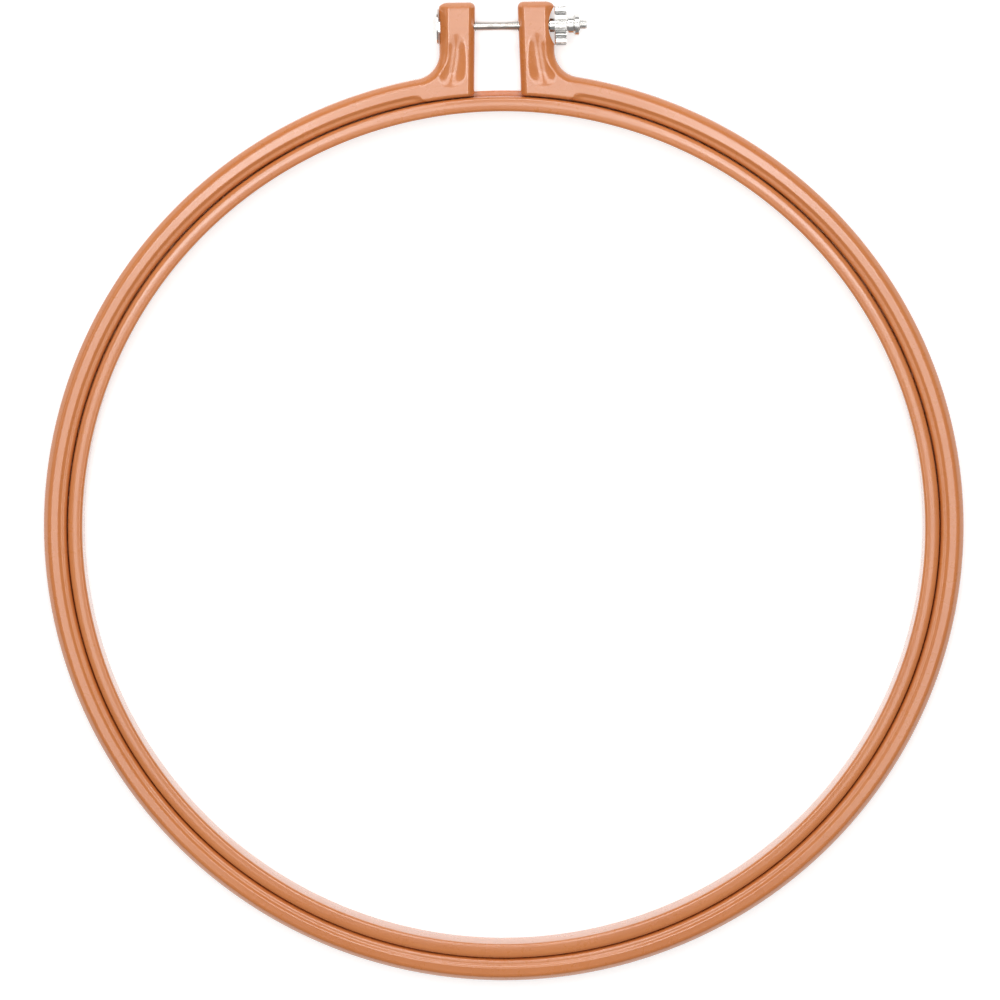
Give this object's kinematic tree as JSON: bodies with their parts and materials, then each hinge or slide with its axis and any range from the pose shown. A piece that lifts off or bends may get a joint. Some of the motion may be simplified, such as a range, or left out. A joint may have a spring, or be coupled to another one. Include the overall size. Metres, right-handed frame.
{
  "type": "embroidery hoop",
  "caption": "Round embroidery hoop: an inner ring inside a split outer ring that a screw and knurled thumb nut clamp shut.",
  "frame": {"origin": "centre of the rings, on the back face that the hoop lies on", "axes": "+Z out of the front, along the rings' axis; +Y from the rings' centre to the clamp lugs; +X to the right as seen from the front, where the thumb nut is"},
  "size_m": [0.2776, 0.2981, 0.0121],
  "materials": {
    "hoop_plastic": "tan moulded plastic, polished",
    "plated_screw": "bright nickel plate",
    "plated_nut": "bright nickel plate"
  },
  "bodies": {
    "inner_ring": {"inner_hoop": "hoop_plastic"},
    "outer_right": {"outer_hoop_right": "hoop_plastic"},
    "outer_left": {"outer_hoop_left": "hoop_plastic"},
    "screw": {"clamp_screw": "plated_screw"},
    "nut": {"thumb_nut": "plated_nut"}
  },
  "joints": [
    {"name": "outer_hoop_lift", "type": "slide", "parent": "inner_ring", "child": "outer_right", "axis": [0, 0, 1], "range_m": [0, 0.03]},
    {"name": "screw_feed", "type": "slide", "parent": "outer_right", "child": "screw", "axis": [-1, 0, 0], "range_m": [0, 0.004]},
    {"name": "nut_turn", "type": "hinge", "parent": "outer_right", "child": "nut", "pos_m": [0.021, 0.15224, 0.00605], "axis": [1, 0, 0], "range_deg": [0, 2880]},
    {"name": "hoop_spread", "type": "hinge", "parent": "outer_right", "child": "outer_left", "pos_m": [0, -0.1388, 0], "axis": [0, 0, 1], "range_deg": [0, 0.7876]}
  ],
  "couplings": [
    {"joint": "nut_turn", "follows": "screw_feed", "rad_per_m": 12566},
    {"joint": "hoop_spread", "follows": "screw_feed", "rad_per_m": 3.436}
  ]
}
